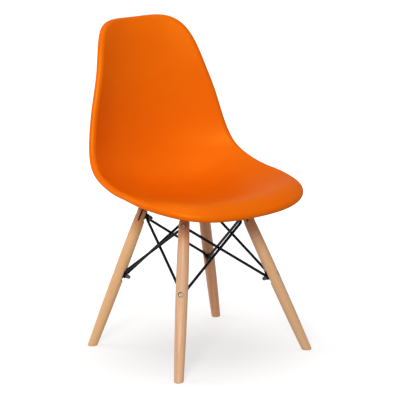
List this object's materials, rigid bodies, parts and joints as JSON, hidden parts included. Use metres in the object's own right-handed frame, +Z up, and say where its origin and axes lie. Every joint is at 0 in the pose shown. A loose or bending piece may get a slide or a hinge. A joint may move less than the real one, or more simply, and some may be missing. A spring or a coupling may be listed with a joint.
{
  "type": "moulded plastic shell chair",
  "caption": "Dining chair with a moulded plastic seat and back shell on splayed, tapered wooden legs braced by crossed steel rods.",
  "frame": {"origin": "on the floor, under the middle of the chair's bounding box", "axes": "+Z up, the sitter faces -Y, +X at the sitter's left hand"},
  "size_m": [0.4636, 0.5044, 0.8204],
  "materials": {
    "shell_plastic": "satin moulded",
    "leg_wood": "clear lacquer",
    "black_steel": "black powder coat",
    "zinc_steel": "zinc plated",
    "insert_brass": "turned",
    "pad_rubber": "moulded"
  },
  "bodies": {
    "root": {"seat_shell": "shell_plastic", "front_right_leg": "leg_wood", "front_left_leg": "leg_wood", "back_left_leg": "leg_wood", "back_right_leg": "leg_wood", "lower_cross_bar": "black_steel", "upper_cross_bar": "black_steel", "front_outer_rod": "black_steel", "front_inner_rod": "black_steel", "left_outer_rod": "black_steel", "left_inner_rod": "black_steel", "back_outer_rod": "black_steel", "back_inner_rod": "black_steel", "right_outer_rod": "black_steel", "right_inner_rod": "black_steel", "boss_inserts": "insert_brass", "seat_pads": "pad_rubber", "seat_screw_washers": "zinc_steel", "seat_screws": "zinc_steel", "upper_joint_plates": "black_steel", "upper_leg_bolts": "zinc_steel", "upper_cap_nuts": "black_steel", "middle_joint_plates": "black_steel", "middle_leg_bolts": "zinc_steel", "middle_cap_nuts": "black_steel"}
  },
  "joints": []
}
